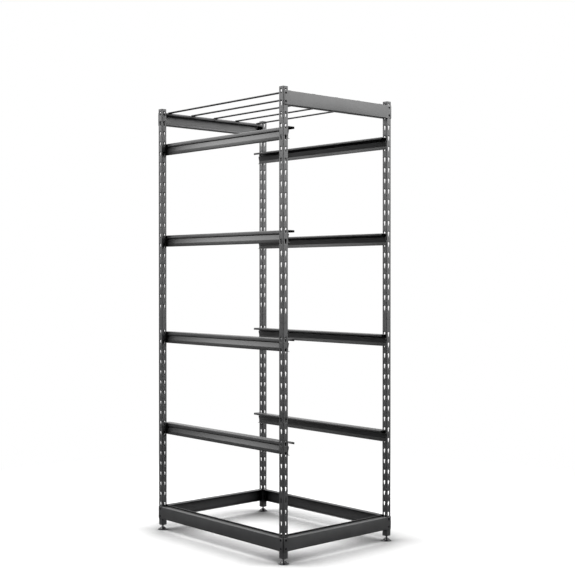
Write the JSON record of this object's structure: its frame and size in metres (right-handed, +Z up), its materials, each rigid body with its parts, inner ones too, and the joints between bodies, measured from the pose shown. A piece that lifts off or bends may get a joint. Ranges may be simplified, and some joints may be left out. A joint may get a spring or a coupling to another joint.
{
  "type": "boltless steel shelving rack",
  "caption": "Tall open rack of keyhole-punched square steel posts with clip-on beams, side rails that carry storage totes by their rims, a crossbar deck and screw-in levelling feet.",
  "frame": {"origin": "on the floor, in the middle of the footprint", "axes": "+X across the width to the right, +Y from the open loading side to the back, +Z up"},
  "size_m": [0.62, 0.841, 1.8498],
  "materials": {
    "post_coat": "charcoal powder coat, semi-gloss, fine orange peel",
    "beam_coat": "charcoal powder coat, semi-gloss, fine orange peel",
    "rail_coat": "charcoal powder coat, semi-gloss, fine orange peel",
    "bar_coat": "charcoal powder coat, semi-gloss",
    "splice_coat": "charcoal powder coat, satin",
    "cap_plastic": "moulded black plastic, fine grain",
    "plug_plastic": "moulded black plastic, fine grain",
    "pad_plastic": "moulded black plastic, glossy",
    "stud_steel": "dark zinc plated steel, rolled thread",
    "pin_steel": "dark plated steel"
  },
  "bodies": {
    "rack": {"post_upper_front_left": "post_coat", "post_upper_front_right": "post_coat", "post_upper_back_left": "post_coat", "post_upper_back_right": "post_coat", "post_lower_front_left": "post_coat", "post_lower_front_right": "post_coat", "post_lower_back_left": "post_coat", "post_lower_back_right": "post_coat", "splice_front_left": "splice_coat", "splice_front_right": "splice_coat", "splice_back_left": "splice_coat", "splice_back_right": "splice_coat", "cap_front_left": "cap_plastic", "cap_front_right": "cap_plastic", "cap_back_left": "cap_plastic", "cap_back_right": "cap_plastic", "foot_plug_front_left": "plug_plastic", "foot_plug_front_right": "plug_plastic", "foot_plug_back_left": "plug_plastic", "foot_plug_back_right": "plug_plastic", "top_beam_front": "beam_coat", "top_beam_back": "beam_coat", "base_beam_front": "beam_coat", "base_beam_back": "beam_coat", "base_beam_left": "beam_coat", "base_beam_right": "beam_coat", "rail_left_1": "rail_coat", "rail_left_2": "rail_coat", "rail_left_3": "rail_coat", "rail_left_4": "rail_coat", "rail_right_1": "rail_coat", "rail_right_2": "rail_coat", "rail_right_3": "rail_coat", "rail_right_4": "rail_coat", "crossbar_1": "bar_coat", "crossbar_2": "bar_coat", "crossbar_3": "bar_coat", "crossbar_4": "bar_coat", "crossbar_5": "bar_coat", "lock_pin_top_front_l": "pin_steel", "lock_pin_top_front_r": "pin_steel", "lock_pin_top_back_l": "pin_steel", "lock_pin_top_back_r": "pin_steel", "lock_pin_base_front_l": "pin_steel", "lock_pin_base_front_r": "pin_steel", "lock_pin_base_back_l": "pin_steel", "lock_pin_base_back_r": "pin_steel", "lock_pin_base_left_f": "pin_steel", "lock_pin_base_left_b": "pin_steel", "lock_pin_base_right_f": "pin_steel", "lock_pin_base_right_b": "pin_steel"},
    "pad_front_left": {"foot_pad_front_left": "pad_plastic"},
    "stud_front_left": {"foot_stud_front_left": "stud_steel"},
    "pad_front_right": {"foot_pad_front_right": "pad_plastic"},
    "stud_front_right": {"foot_stud_front_right": "stud_steel"},
    "pad_back_left": {"foot_pad_back_left": "pad_plastic"},
    "stud_back_left": {"foot_stud_back_left": "stud_steel"},
    "pad_back_right": {"foot_pad_back_right": "pad_plastic"},
    "stud_back_right": {"foot_stud_back_right": "stud_steel"}
  },
  "joints": [
    {"name": "foot_front_left_travel", "type": "slide", "parent": "rack", "child": "pad_front_left", "axis": [0, 0, 1], "range_m": [-0.008, 0.008]},
    {"name": "foot_front_left_screw", "type": "hinge", "parent": "pad_front_left", "child": "stud_front_left", "pos_m": [-0.2905, -0.401, 0.03], "axis": [0, 0, 1], "range_deg": [-2310, 2310]},
    {"name": "foot_front_right_travel", "type": "slide", "parent": "rack", "child": "pad_front_right", "axis": [0, 0, 1], "range_m": [-0.008, 0.008]},
    {"name": "foot_front_right_screw", "type": "hinge", "parent": "pad_front_right", "child": "stud_front_right", "pos_m": [0.2905, -0.401, 0.03], "axis": [0, 0, 1], "range_deg": [-2310, 2310]},
    {"name": "foot_back_left_travel", "type": "slide", "parent": "rack", "child": "pad_back_left", "axis": [0, 0, 1], "range_m": [-0.008, 0.008]},
    {"name": "foot_back_left_screw", "type": "hinge", "parent": "pad_back_left", "child": "stud_back_left", "pos_m": [-0.2905, 0.401, 0.03], "axis": [0, 0, 1], "range_deg": [-2310, 2310]},
    {"name": "foot_back_right_travel", "type": "slide", "parent": "rack", "child": "pad_back_right", "axis": [0, 0, 1], "range_m": [-0.008, 0.008]},
    {"name": "foot_back_right_screw", "type": "hinge", "parent": "pad_back_right", "child": "stud_back_right", "pos_m": [0.2905, 0.401, 0.03], "axis": [0, 0, 1], "range_deg": [-2310, 2310]}
  ],
  "couplings": [
    {"joint": "foot_front_left_screw", "follows": "foot_front_left_travel", "rad_per_m": 5026.5},
    {"joint": "foot_front_right_screw", "follows": "foot_front_right_travel", "rad_per_m": 5026.5},
    {"joint": "foot_back_left_screw", "follows": "foot_back_left_travel", "rad_per_m": 5026.5},
    {"joint": "foot_back_right_screw", "follows": "foot_back_right_travel", "rad_per_m": 5026.5}
  ]
}
